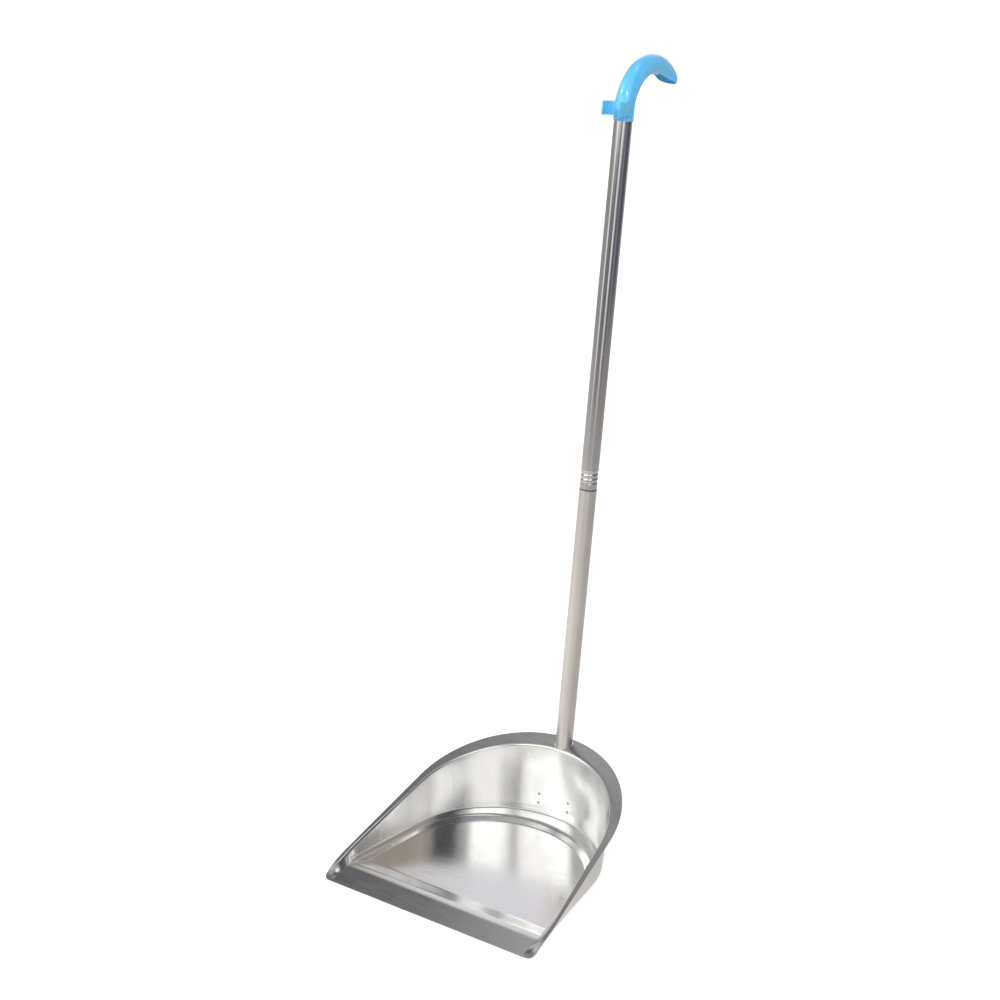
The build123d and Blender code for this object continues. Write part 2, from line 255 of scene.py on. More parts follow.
class HandleSizes(bpy.types.PropertyGroup):
    """Tubes, screw joint, strap and welds. Heights run along the handle from the ground."""

    wall: size("Tube wall", "Wall of both tubes", 0.0005)
    edge: size("Edge", "Rounding of the tubes' cut ends", 0.00015)
    collar: size("Collar", "Height of the spigot's collar", 0.001)
    socket: size("Socket", "Length of the upper tube's reduced end", 0.0198)
    reduction: size("Reduction", "Radius lost in the reduced end", 0.0002)
    taper: size("Taper", "Length over which the tube is reduced", 0.0012)
    pitch: size("Pitch", "Rise of the rolled thread in one turn", 0.005)
    thread_start: size("Thread start", "Collar to the thread's lower end", 0.006)
    thread_depth: size("Thread depth", "Depth of the rolled groove", 0.00055)
    groove: size("Groove", "Radius of the rolled groove's section", 0.0012)
    groove_lip: size("Groove lip", "Rounding along the groove's edges", 0.0005)
    plug: size("Plug", "Length of the spigot in the lower tube", 0.03)
    plug_gap: size("Plug gap", "Between the spigot and the lower tube", 0.00002)
    nose: size("Nose", "Length of the spigot above its collar", 0.023)
    nose_gap: size("Nose gap", "Between the spigot's nose and the socket", 0.0001)
    nose_chamfer: size("Nose chamfer", "Chamfer at the spigot's top", 0.001)
    thread_gap: size("Thread gap", "Between the rolled thread and the spigot's groove", 0.0003)
    bore: size("Bore", "Radius of the spigot's bore", 0.0055)
    strap: size("Strap", "Thickness of the strap", 0.001)
    strap_gap: size("Strap gap", "Between the strap and the tube", 0.0001)
    strap_bend: size("Strap bend", "Bend between the strap's legs and ears", 0.0018)
    strap_ear: size("Strap ear", "Middle to the end of each ear", 0.0285)
    strap_bottom: size("Strap bottom", "Lower edge of the strap", 0.011)
    strap_height: size("Strap height", "Width of the strap along the handle", 0.023)
    strap_edge: size("Strap edge", "Rounding of the strap's edges", 0.0002)
    wall_gap: size("Wall gap", "Between the rear wall and the tube", 0.00015)
    weld: size("Weld", "Radius of a weld mark", 0.0015)
    weld_reach: size("Weld reach", "Middle to each column of welds", 0.019)
    weld_low: size("Low welds", "Height of the lower welds", 0.017)
    weld_high: size("High welds", "Height of the upper welds", 0.0275)


class CapSizes(bpy.types.PropertyGroup):
    """The moulded cap, its hook and its broom clip."""

    gap: size("Gap", "Between the cap and the tube", 0.00005)
    wall: size("Cap wall", "Wall of the cap", 0.00075)
    sleeve: size("Sleeve", "Straight length on the tube", 0.0132)
    neck_radius: size("Neck radius", "First bend of the hook", 0.0313)
    neck_turn: angle("Neck turn", "Turn of the first bend", 24.7)
    hook_radius: size("Hook radius", "Main bend of the hook", 0.0524)
    mouth_setback: size("Mouth setback", "Crown to the inner end of the hook's mouth", 0.007)
    mouth_rise: size("Mouth rise", "Inner end of the mouth above the crown's underside", 0.0018)
    mouth_slope: angle("Mouth slope", "Fall of the mouth towards the tip", 16.7)
    tip_start: angle("Tip start", "Turn of the hook at which its tip begins to close", 133)
    tip_end: angle("Tip end", "Turn at which the tip would be closed", 146)
    rim: size("Rim", "Rounding of the cap's open ends", 0.00028)
    clip_wall: size("Clip wall", "Thickness of the clip's arms", 0.002)
    clip_mouth: angle("Clip mouth", "Middle of the clip's mouth to the end of an arm", 56)
    clip_edge: size("Clip edge", "Rounding along the clip's edges", 0.0005)


class Finishes(bpy.types.PropertyGroup):
    """Colours and roughness of the surfaces."""

    pan: paint("Pan", "Pressed sheet", (0.78, 0.78, 0.777))
    pan_rough: share("Pan roughness", "Blur of the sheet's reflections", 0.19)
    lower_tube: paint("Lower tube", "Satin tube", (0.68, 0.655, 0.625))
    lower_tube_rough: share("Lower roughness", "Blur of the lower tube", 0.3)
    upper_tube: paint("Upper tube", "Polished tube", (0.6, 0.595, 0.6))
    upper_tube_rough: share("Upper roughness", "Blur of the upper tube", 0.14)
    strap: paint("Strap", "Strap at the handle's foot", COLOURS["strap_steel"])
    strap_rough: share("Strap roughness", "Blur of the strap", 0.32)
    weld: paint("Weld", "Weld marks", COLOURS["weld_steel"])
    weld_rough: share("Weld roughness", "Blur of the weld marks", 0.42)
    spigot: paint("Spigot", "Dark moulding in the screw joint", COLOURS["spigot_plastic"])
    spigot_rough: share("Spigot roughness", "Gloss of the dark moulding", 0.42)
    cap: paint("Cap", "Blue moulding", (0.1, 0.5, 0.84))
    cap_rough: share("Cap roughness", "Gloss of the blue moulding", 0.2)


class StageSettings(bpy.types.PropertyGroup):
    """Camera, floor and lights."""

    lens: FloatProperty(name="Lens", description="Focal length in millimetres", default=66.86)
    camera: FloatVectorProperty(
        name="Camera", description="Place of the camera, from the middle of the lip",
        default=(0.93509, -1.34879, 1.02686), subtype="XYZ", unit="LENGTH", precision=5
    )
    aim: FloatVectorProperty(
        name="Aim", description="Camera's turn about X, Y and Z",
        default=(radians(70.7), radians(-2.065), radians(33.298)), subtype="EULER", precision=5
    )
    floor: paint("Floor", "Pale floor", (0.9, 0.9, 0.9))
    floor_glow: strength("Floor glow", "Light that the floor adds, so that it stays white", 0.45)
    fill: strength("Fill", "Even light from all round", 0.75)
    key: strength("Key", "Power of each soft lamp, in watts", 14.0)


class Dustpan(bpy.types.PropertyGroup):
    """All settings of the dustpan."""

    pan: PointerProperty(type=PanSizes)
    handle: PointerProperty(type=HandleSizes)
    cap: PointerProperty(type=CapSizes)
    finish: PointerProperty(type=Finishes)
    stage: PointerProperty(type=StageSettings)


# Mesh helpers


def new_piece(name, vertices, faces):
    """A mesh object with shared corners merged."""
    mesh = bpy.data.meshes.new(name)
    mesh.from_pydata([tuple(v) for v in vertices], [], faces)
    shape = bmesh.new()
    shape.from_mesh(mesh)
    bmesh.ops.remove_doubles(shape, verts=shape.verts, dist=MERGE_WITHIN)
    bmesh.ops.dissolve_degenerate(shape, edges=shape.edges, dist=LEAST_EDGE)
    shape.to_mesh(mesh)
    shape.free()
    piece = bpy.data.objects.new(name, mesh)
    bpy.context.scene.collection.objects.link(piece)
    return piece


def face_outwards(piece):
    """Turns all faces of a closed mesh outwards."""
    shape = bmesh.new()
    shape.from_mesh(piece.data)
    bmesh.ops.recalc_face_normals(shape, faces=shape.faces)
    shape.to_mesh(piece.data)
    shape.free()


def apply_modifiers(piece):
    """Replaces the piece's mesh by what its modifiers make of it."""
    graph = bpy.context.evaluated_depsgraph_get()
    made = bpy.data.meshes.new_from_object(piece.evaluated_get(graph))
    piece.modifiers.clear()
    piece.data = made


def smooth(piece, limit):
    """Smooth shading, with edges sharper than limit kept sharp."""
    piece.data.polygons.foreach_set("use_smooth", [True] * len(piece.data.polygons))
    piece.data.set_sharp_from_angle(angle=limit)


def bevel(piece, width, limit, segments=3):
    """Rounds the edges that turn by more than limit."""
    rounding = piece.modifiers.new("rounded_edges", "BEVEL")
    rounding.width = width
    rounding.segments = segments
    rounding.limit_method = "ANGLE"
    rounding.angle_limit = limit
    apply_modifiers(piece)


def combine(piece, other, operation):
    """Cuts other from piece or fuses it on, and removes other."""
    joining = piece.modifiers.new("combine", "BOOLEAN")
    joining.operation = operation
    joining.solver = "EXACT"
    joining.object = other
    bpy.context.view_layer.update()
    before = len(piece.data.vertices)
    apply_modifiers(piece)
    if len(piece.data.vertices) < before / 2:
        raise RuntimeError(piece.name + " was lost when another shape was cut from it or fused on")
    bpy.data.objects.remove(other)


def grid_faces(columns, rows, closed=False):
    """Quads between neighbouring columns of points, each rows long."""
    faces = []
    for c in range(columns if closed else columns - 1):
        here, there = c * rows, (c + 1) % columns * rows
        faces += [(here + r, here + r + 1, there + r + 1, there + r) for r in range(rows - 1)]
    return faces


def extrude(name, outline, bottom, top):
    """A closed prism on a plan outline."""
    count = len(outline)
    points = [(x, w, s) for s in (bottom, top) for x, w in outline]
    sides = [(i, (i + 1) % count, (i + 1) % count + count, i + count) for i in range(count)]
    piece = new_piece(name, points, sides + [list(range(count)), list(range(count, 2 * count))])
    face_outwards(piece)
    return piece


def turned(name, outline):
    """A closed turning on the handle: outline gives the (radius, height) pairs at a bearing."""
    bearings = [2 * pi * c / TURNED_SEGMENTS for c in range(TURNED_SEGMENTS)]
    points = []
    for bearing in bearings:
        column = outline(bearing)
        points += [(radius * sin(bearing), -radius * cos(bearing), s) for radius, s in column + column[:1]]
    piece = new_piece(name, points, grid_faces(TURNED_SEGMENTS, len(column) + 1, closed=True))
    face_outwards(piece)
    piece.matrix_world = HANDLE
    return piece


def mirrored(points):
    """Plan points on the other side of the middle, in reverse order and without the last one."""
    return [(-x, w) for x, w in reversed(points[:-1])]


# Shapes shared by the pan's parts


def soft_clamp(t, first, second):
    """0 up to 0, then t, then 1 from 1 on, with its corners rounded over first and second on either side."""
    rising = np.where(t < first, (t + first) ** 2 / (4 * first), t)
    low = np.where(t < -first, 0, rising)
    falling = 1 - (1 + second - t) ** 2 / (4 * second)
    return np.where(t > 1 + second, 1, np.where(t > 1 - second, falling, low))


def soft_least(a, b, blend):
    """The lesser of a and b, rounded where they differ by less than blend."""
    near = np.clip(blend - np.abs(a - b), 0, None) / blend
    return np.minimum(a, b) - near * near * blend / 4


def soft_rise(t):
    """0 to 1 with level ends."""
    t = np.clip(t, 0, 1)
    return t * t * (3 - 2 * t)


class UOutline:
    """Half of a plan outline: a side that closes in by turn, then an arc to the middle of the back."""

    def __init__(self, half_width, turn, back):
        self.half_width = half_width
        self.turn = turn
        closing = tan(turn)
        self.radius = (half_width - closing * back) / (cos(turn) - closing * (1 - sin(turn)))
        self.centre_y = back - self.radius
        self.turn_y = self.centre_y + self.radius * sin(turn)

    def side(self, y):
        return np.array((-(self.half_width - tan(self.turn) * y), y))

    def arc(self, part):
        return np.array((0, self.centre_y)) + self.radius * self.normal(part)

    def normal(self, part):
        """Outward direction on the arc, and on the side where part is 0."""
        bearing = self.turn + part * (pi / 2 - self.turn)
        return np.array((-cos(bearing), sin(bearing)))


def direction(begin, end):
    """Unit vector from begin to end, and the distance."""
    run = end - begin
    length = max(np.linalg.norm(run), SHORTEST)
    return run / length, length


def bend_length(radius, one, other):
    """Length that a bend of this radius takes on both legs of a corner."""
    between = acos(max(-1.0, min(1.0, float(one @ other))))
    return radius / max(tan(between / 2), FLATTEST)


def bent(begin, corner, end, steps):
    """Points on a curve from begin to end that leaves and meets both legs of the corner smoothly."""
    parts = [i / steps for i in range(steps + 1)]
    return [(1 - t) ** 2 * begin + 2 * t * (1 - t) * corner + t * t * end for t in parts]


class PanForm:
    """Formulas of the pressing, with y measured from the lip."""

    # Columns and rows of the mesh
    ladder = 0.07  # depth up to which the columns run straight across
    ladder_step = 0.0009
    first_columns = (0, 0.35, 0.65, 0.85)  # shares of curl_start
    curl_steps = 18
    side_steps = 34
    arc_steps = 78
    flange_steps = 6
    wall_steps = 10  # on the wall, and on the bend at either end of it
    ledge_steps = 4
    step_steps = 24
    floor_steps = 22
    floor_power = 0.9  # below 1 the floor's points stand wider apart by the step
    on_ledge, on_floor = -1.0, 2.0  # places across the step, clear of it on either side
    # Limits that keep the sheet from folding where it gets narrow
    most_flange = 0.7  # share of the flange that a bend may take
    most_wall = 0.48  # share of the wall that a bend may take
    least_rim = 0.00005  # rim above the ramp
    least_swing = 0.02  # share by which the rim stands off the foot
    least_ledge = 0.0016  # width of the ledge beside the ramp, and of the step there
    ledge_spare = 0.1  # of the step's width, left between its brow and the wall's foot
    least_brow = 0.05
    past_bends = 0.02  # of the step's width, by which its rows reach past its bends
    # Blends
    tip_run = 5  # curl starts over which the foot's tip runs out
    slope_blend = 0.12  # where the step meets the front slope
    rim_rounds = 6  # repeats that settle the rim's height

    def __init__(self, sizes):
        self.sizes = sizes
        slant = cos(sizes.closing)
        self.wall = UOutline(sizes.mouth, sizes.closing, sizes.depth)
        self.step_top = UOutline(
            sizes.mouth - sizes.ledge_side / slant, sizes.closing, sizes.depth - sizes.ledge_back
        )
        self.step_foot = UOutline(
            sizes.mouth - (sizes.ledge_side + sizes.step_side) / slant,
            sizes.closing,
            sizes.depth - sizes.ledge_back - sizes.step_back,
        )
        self.flange = UOutline(
            sizes.mouth + sizes.flange_side, sizes.flange_closing, sizes.depth + sizes.flange_back
        )

    def stations(self):
        """Where the columns stand: depth on the ladder, then part of the side, then part of the arc."""
        begin, curl = self.sizes.curl_start, self.sizes.curl
        depths = [begin * part for part in self.first_columns]
        depths += [begin + curl * (i / self.curl_steps) ** 2 for i in range(self.curl_steps)]
        depths += list(np.arange(begin + curl, self.ladder, self.ladder_step))
        side = [("side", y) for y in depths]
        rear = [("rear", i / self.side_steps) for i in range(self.side_steps)]
        arc = [("arc", i / self.arc_steps) for i in range(self.arc_steps + 1)]
        return side + rear + arc

    def place(self, outline, station):
        kind, value = station
        if kind == "arc":
            return outline.arc(value)
        if kind == "rear":
            return outline.side(self.ladder + value * (outline.turn_y - self.ladder))
        return outline.side(value)

    def base(self, y):
        """Ramp up to the ridge, then level."""
        sizes = self.sizes
        rise = sizes.ledge - sizes.sheet
        return sizes.sheet + rise * soft_least(y / sizes.ridge, 1 + 0 * y, 2 * sizes.ridge_bend / sizes.ridge)

    def rim(self, y):
        return self.sizes.rim_front + y * tan(self.sizes.rim_slope)

    def recess(self, across, y):
        """Depth below the ledge, where across runs from 0 at the step's top to 1 at its foot."""
        sizes = self.sizes
        side = soft_clamp(across, sizes.step_brow, sizes.step_toe)
        begin = sizes.ridge + sizes.crest
        run = sizes.floor - begin
        bend = sizes.floor_bend / run
        front = soft_clamp((y - begin) / run, bend, bend)
        return (sizes.ledge - sizes.sheet) * np.clip(soft_least(side, front, self.slope_blend), 0, 1)

    def edge(self, station):
        """Plan point on the flange's edge, which bows in towards the lip and turns a round corner there."""
        sizes = self.sizes
        point = self.place(self.flange, station)
        if station[0] == "side":
            y = point[1]
            point[0] += sizes.flange_pinch * max(1 - y / sizes.flange_bow, 0) ** 2
            if y < sizes.corner:
                point[0] += sizes.corner - sqrt(sizes.corner**2 - (sizes.corner - y) ** 2)
        return point

    def wall_ends(self, station, draft):
        """Corner points of the wall at its foot and at the rim, and the direction inwards from above."""
        sizes = self.sizes
        place = self.place(self.wall, station)
        kind, value = station
        if kind == "side":
            return self.side_wall_ends(place, draft)
        straight = np.array((-1 / cos(sizes.closing), 0))
        outwards = self.wall.normal(value if kind == "arc" else 0)
        if kind == "rear":
            outwards = straight + (outwards - straight) * value
        out = 0.0
        for _ in range(self.rim_rounds):
            height = self.rim(place[1] + outwards[1] * out)
            out = (height - sizes.ledge) * tan(draft)
        rim = place + outwards * out
        foot = np.array((*place, sizes.ledge))
        return foot, np.array((*rim, self.rim(rim[1]))), -outwards / np.linalg.norm(outwards)

    def side_wall_ends(self, place, draft):
        """The same beside the ramp, where the foot runs straight and the rim comes down to the lip."""
        sizes = self.sizes
        y = place[1]
        base = float(self.base(y))
        lean = tan(draft) / cos(sizes.closing)
        near_lip = max(1 - y / (self.tip_run * sizes.curl_start), 0) ** 2
        on_ramp = -(sizes.foot_line + sizes.foot_tip * near_lip)
        on_wall = place[0] - (base - sizes.ledge) * lean
        foot_x = on_ramp + (on_wall - on_ramp) * self.past_ridge(y)
        near = min(y / sizes.droop, 1)
        height = sizes.sheet + (self.rim(y) - sizes.sheet) * near * (2 - near)
        height = max(height, base + self.least_rim)
        swing = min(max((y - sizes.curl_start) / sizes.curl, 0), 1)
        swing = max(sqrt(1 - (1 - swing) ** 2), self.least_swing)
        rim_x = foot_x + (place[0] - (height - sizes.ledge) * lean - foot_x) * swing
        return np.array((foot_x, y, base)), np.array((rim_x, y, height)), np.array((1.0, 0.0))

    def past_ridge(self, y):
        """0 at the ridge, and 1 from where the foot has joined the plain wall."""
        sizes = self.sizes
        return float(soft_rise((y - sizes.ridge) / (sizes.foot_join - sizes.ridge)))

    def column(self, station, draft):
        """Points from the flange's edge to the middle of the floor."""
        sizes = self.sizes
        foot, rim, inwards = self.wall_ends(station, draft)
        edge = self.edge(station)
        outer = np.array((*edge, rim[2] + (edge[1] - rim[1]) * tan(sizes.rim_slope)))
        to_edge, flange_length = direction(rim, outer)
        to_foot, wall_length = direction(rim, foot)
        level = np.array((*inwards, 0.0))
        foot_radius = sizes.foot_front + (sizes.foot_back - sizes.foot_front) * self.past_ridge(foot[1])
        most_wall = self.most_wall * wall_length
        bead = min(bend_length(sizes.bead, to_edge, to_foot), self.most_flange * flange_length, most_wall)
        bend = min(bend_length(foot_radius, level, -to_foot), most_wall)
        bead_out, bead_in = rim + to_edge * bead, rim + to_foot * bead
        bend_up, bend_in = foot - to_foot * bend, foot + level * bend
        flange, wall = self.flange_steps, self.wall_steps
        points = [outer + (bead_out - outer) * (i / flange) for i in range(flange)]
        points += bent(bead_out, rim, bead_in, wall)
        points += [bead_in + (bend_up - bead_in) * (i / wall) for i in range(1, wall)]
        points += bent(bend_up, foot, bend_in, wall)
        return points + self.inner_points(station, bend_in[:2])

    def inner_points(self, station, begin):
        """Ledge, step and floor, from the wall's foot to the middle."""
        sizes = self.sizes
        top = self.place(self.step_top, station)
        foot = self.place(self.step_foot, station)
        kind, value = station
        if kind == "side":
            middle = np.array((0, value))
            top[0] = max(top[0], begin[0] + self.least_ledge)
            foot[0] = max(foot[0], top[0] + self.least_ledge)
        else:
            part = value if kind == "rear" else 1
            middle = np.array((0, self.ladder + part * (self.step_foot.centre_y - self.ladder)))
        after = sizes.step_toe + self.past_bends
        room = np.linalg.norm(top - begin) / np.linalg.norm(foot - top)
        before = min(sizes.step_brow + self.past_bends, max(room - self.ledge_spare, self.least_brow))
        shelf = top - (foot - top) * before
        plan = []
        for i in range(1, self.ledge_steps):
            plan.append((begin + (shelf - begin) * (i / self.ledge_steps), self.on_ledge))
        for i in range(self.step_steps + 1):
            across = -before + (1 + before + after) * i / self.step_steps
            plan.append((top + (foot - top) * across, across))
        last = plan[-1][0]
        for i in range(1, self.floor_steps + 1):
            along = (i / self.floor_steps) ** self.floor_power
            plan.append((last + (middle - last) * along, self.on_floor))
        points = []
        for place, across in plan:
            z = float(self.base(place[1])) - float(self.recess(np.array(across), np.array(place[1])))
            points.append(np.array((*place, z)))
        return points


# Materials


def set_inputs(tree, made, inputs):
    """Sets a node's inputs, each to a value or to another node's output."""
    for key, value in inputs.items():
        if isinstance(value, bpy.types.NodeSocket):
            tree.links.new(value, made.inputs[key])
        else:
            made.inputs[key].default_value = value


def node(tree, kind, inputs=None, **settings):
    """A new shader node with its settings and inputs."""
    made = tree.nodes.new(kind)
    for name, value in settings.items():
        setattr(made, name, value)
    set_inputs(tree, made, inputs or {})
    return made


def new_material(name):
    """A material with only a Principled shader, its nodes, and that shader."""
    material = bpy.data.materials.new(name)
    material.use_nodes = True
    return material, material.node_tree, material.node_tree.nodes["Principled BSDF"]


def noise(tree, stretch, scale, detail=4.0, roughness=0.55):
    """Noise in the piece's own coordinates, stretched along each axis."""
    place = node(tree, "ShaderNodeTexCoord").outputs["Object"]
    stretched = node(tree, "ShaderNodeMapping", {"Vector": place, "Scale": stretch}).outputs["Vector"]
    inputs = {"Vector": stretched, "Scale": scale, "Detail": detail, "Roughness": roughness}
    return node(tree, "ShaderNodeTexNoise", inputs).outputs["Fac"]


def spread(tree, value, low, high):
    """Maps noise to a range."""
    inputs = {"Value": value, "From Min": NOISE_RANGE[0], "From Max": NOISE_RANGE[1]}
    return node(tree, "ShaderNodeMapRange", {**inputs, "To Min": low, "To Max": high}).outputs["Result"]


def clouded(tree, colour, scale):
    """The colour with faint darker and lighter clouds."""
    ramp = node(tree, "ShaderNodeValToRGB", {"Fac": noise(tree, (1, 1, 1), scale)})
    for stop, place, factor in zip(ramp.color_ramp.elements, NOISE_RANGE, CLOUD_RANGE):
        stop.position = place
        stop.color = (*[min(1.0, part * factor) for part in colour], 1)
    return ramp.outputs["Color"]


def steel(name, colour, rough):
    """Bare steel: stretched fine grain, cloudy sheen, and slow waves left by the forming."""
    grain, waves, wave_height = STEELS[name]
    material, tree, shader = new_material(name)
    fine = noise(tree, grain, 1.0, FINE_DETAIL, FINE_ROUGH)
    fine_dull = spread(tree, fine, rough - FINE_DULLS, rough + FINE_DULLS)
    smear = noise(tree, [part * SMEAR_STRETCH for part in grain], 1.0)
    smear_dull = spread(tree, smear, -SMEAR_DULLS, SMEAR_DULLS)
    dull = node(tree, "ShaderNodeMath", {0: smear_dull, 1: fine_dull}, operation="ADD")
    slow = noise(tree, waves, 1.0, WAVE_DETAIL)
    wavy = node(tree, "ShaderNodeBump", {"Height": slow, "Distance": wave_height, "Strength": 1.0})
    bumps = {"Height": fine, "Normal": wavy.outputs["Normal"], "Distance": FINE_HEIGHT}
    grainy = node(tree, "ShaderNodeBump", {**bumps, "Strength": FINE_STRENGTH})
    set_inputs(tree, shader, {
        "Metallic": 1.0,
        "Base Color": clouded(tree, colour, STEEL_CLOUDS),
        "Roughness": dull.outputs["Value"],
        "Normal": grainy.outputs["Normal"],
    })
    return material


def moulding(name, colour, rough):
    """Moulded plastic: a faint cloud in the colour, small scuffs in the gloss, a fine surface texture."""
    texture, coat = MOULDINGS[name]
    material, tree, shader = new_material(name)
    scuffs = noise(tree, SCUFF_STRETCH, SCUFFS, SCUFF_DETAIL)
    skin = noise(tree, (1, 1, 1), SKIN, SKIN_DETAIL)
    bumps = node(tree, "ShaderNodeBump", {"Height": skin, "Distance": texture, "Strength": SKIN_STRENGTH})
    set_inputs(tree, shader, {
        "Base Color": clouded(tree, colour, MOULDING_CLOUDS),
        "Roughness": spread(tree, scuffs, rough + SCUFF_DULLS[0], rough + SCUFF_DULLS[1]),
        "IOR": PLASTIC_IOR,
        "Coat Weight": coat,
        "Coat Roughness": COAT_ROUGH,
        "Normal": bumps.outputs["Normal"],
    })
    return material


# Pieces


class PieceOperator:
    """What the operators of all pieces share: they build a piece, dress it and set it on its body."""

    bl_options = {"REGISTER", "UNDO"}
    body = "base"
    crease = radians(40)  # edges that turn by more stay sharp

    def execute(self, context):
        settings = context.scene.dustpan
        piece = self.build(settings)
        smooth(piece, self.crease)
        piece.data.materials.clear()
        piece.data.materials.append(self.material(settings.finish))
        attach(piece, self.body)
        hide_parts(self.stands_for)
        return {"FINISHED"}

    def material(self, finish):
        """The slot's name says which finish it has and what it is made of, as in pan_steel."""
        look, kind = self.slot.rsplit("_", 1)
        make = {"steel": steel, "plastic": moulding}[kind]
        return make(self.slot, getattr(finish, look), getattr(finish, look + "_rough"))


class DUSTPAN_OT_pan(PieceOperator, bpy.types.Operator):
    """Build the pressed pan"""

    bl_idname = "dustpan.pan"
    bl_label = "Pan"
    slot = "pan_steel"
    stands_for = "pan"
    hole_points = 61

    def build(self, settings):
        form = PanForm(settings.pan)
        half = [form.column(station, LEAN) for station in form.stations()]
        columns = half + [[point * (-1, 1, 1) for point in column] for column in reversed(half[:-1])]
        points = [point + (0, LIP_Y, 0) for column in columns for point in column]
        pan = new_piece("pressed_pan", points, grid_faces(len(columns), len(columns[0])))
        sheet = pan.modifiers.new("sheet", "SOLIDIFY")
        sheet.thickness = settings.pan.sheet
        sheet.offset = -1
        apply_modifiers(pan)
        combine(pan, self.hole(settings), "DIFFERENCE")
        return pan

    def hole(self, settings):
        """A prism round the handle, flat where it meets the rear wall, a third of the gap from the tube."""
        radius = TUBE_RADIUS + settings.pan.hole
        flat = acos((TUBE_RADIUS + settings.handle.wall_gap / 3) / radius)
        bearings = np.linspace(flat, 2 * pi - flat, self.hole_points)
        outline = [(radius * sin(b), -radius * cos(b)) for b in bearings]
        middle = settings.pan.rim_front + (FOOT_Y - LIP_Y) * tan(settings.pan.rim_slope)
        prism = extrude("hole", outline, middle - 2 * radius, middle + 2 * radius)
        prism.matrix_world = HANDLE
        return prism


def tube_outline(sizes, outer, bottom, top):
    """Section of a tube's wall with its edges taken off, where outer has the points above the lower edge."""
    edge, wall = sizes.edge, sizes.wall
    first = outer[0][0]
    inner = [(radius - wall, s) for radius, s in reversed(outer)]
    return (
        [(first - edge, bottom), *outer, (TUBE_RADIUS, top - edge), (TUBE_RADIUS - edge, top)]
        + [(TUBE_RADIUS - wall + edge, top), (TUBE_RADIUS - wall, top - edge)]
        + [*inner, (first - wall + edge, bottom)]
    )


class DUSTPAN_OT_lower_tube(PieceOperator, bpy.types.Operator):
    """Build the satin lower tube"""

    bl_idname = "dustpan.lower_tube"
    bl_label = "Lower tube"
    slot = "lower_tube_steel"
    stands_for = "lower_tube"

    def build(self, settings):
        sizes = settings.handle
        bottom = low_end("lower_tube", TUBE_RADIUS)
        top = COLLAR_TOP - sizes.collar
        outline = tube_outline(sizes, [(TUBE_RADIUS, bottom + sizes.edge)], bottom, top)
        return turned("satin_lower_tube", lambda bearing: outline)


def thread_place(sizes, bearing, s):
    """Turns up the thread at the pass nearest to a place, and the distance from it along the handle."""
    turns = (s - COLLAR_TOP - sizes.thread_start) / sizes.pitch
    offset = THREAD_BEARING + bearing / (2 * pi)
    along = round(turns - offset) + offset
    return along, abs(turns - along) * sizes.pitch


class DUSTPAN_OT_upper_tube(PieceOperator, bpy.types.Operator):
    """Build the polished upper tube with its rolled thread"""

    bl_idname = "dustpan.upper_tube"
    bl_label = "Upper tube"
    body = "upper_handle"
    slot = "upper_tube_steel"
    stands_for = "upper_tube"
    row_step = 0.00022  # between the rows of the reduced end
    lip_run = 2.4  # groove lips over which the groove's edge levels out

    def build(self, settings):
        sizes = settings.handle
        bottom = low_end("upper_tube", TUBE_RADIUS - sizes.reduction)
        top = high_end("upper_tube", TUBE_RADIUS)
        heights = np.arange(bottom + sizes.edge, bottom + sizes.socket + 2 * sizes.taper, self.row_step)

        def outline(bearing):
            outer = [(self.radius(sizes, bearing, s, bottom), s) for s in heights]
            return tube_outline(sizes, outer, bottom, top)

        return turned("polished_upper_tube", outline)

    def radius(self, sizes, bearing, s, bottom):
        """Outer radius at a place: the reduced end, its taper and the rolled groove."""
        taper = soft_rise((s - bottom - sizes.socket) / sizes.taper)
        plain = TUBE_RADIUS - sizes.reduction * (1 - float(taper))
        along, away = thread_place(sizes, bearing, s)
        upper_end = soft_rise(0.5 + (THREAD_TURNS - along) / THREAD_FADE)
        lower_end = soft_rise(along / THREAD_RUN_OUT)
        centre = sizes.groove - sizes.thread_depth
        edge = sqrt(sizes.groove**2 - centre**2) - sizes.groove_lip
        depth = sqrt(sizes.groove**2 - min(away, edge) ** 2) - centre
        if away >= edge:
            depth *= 1 - float(soft_rise((away - edge) / (self.lip_run * sizes.groove_lip)))
        return plain - float(upper_end * lower_end) * depth


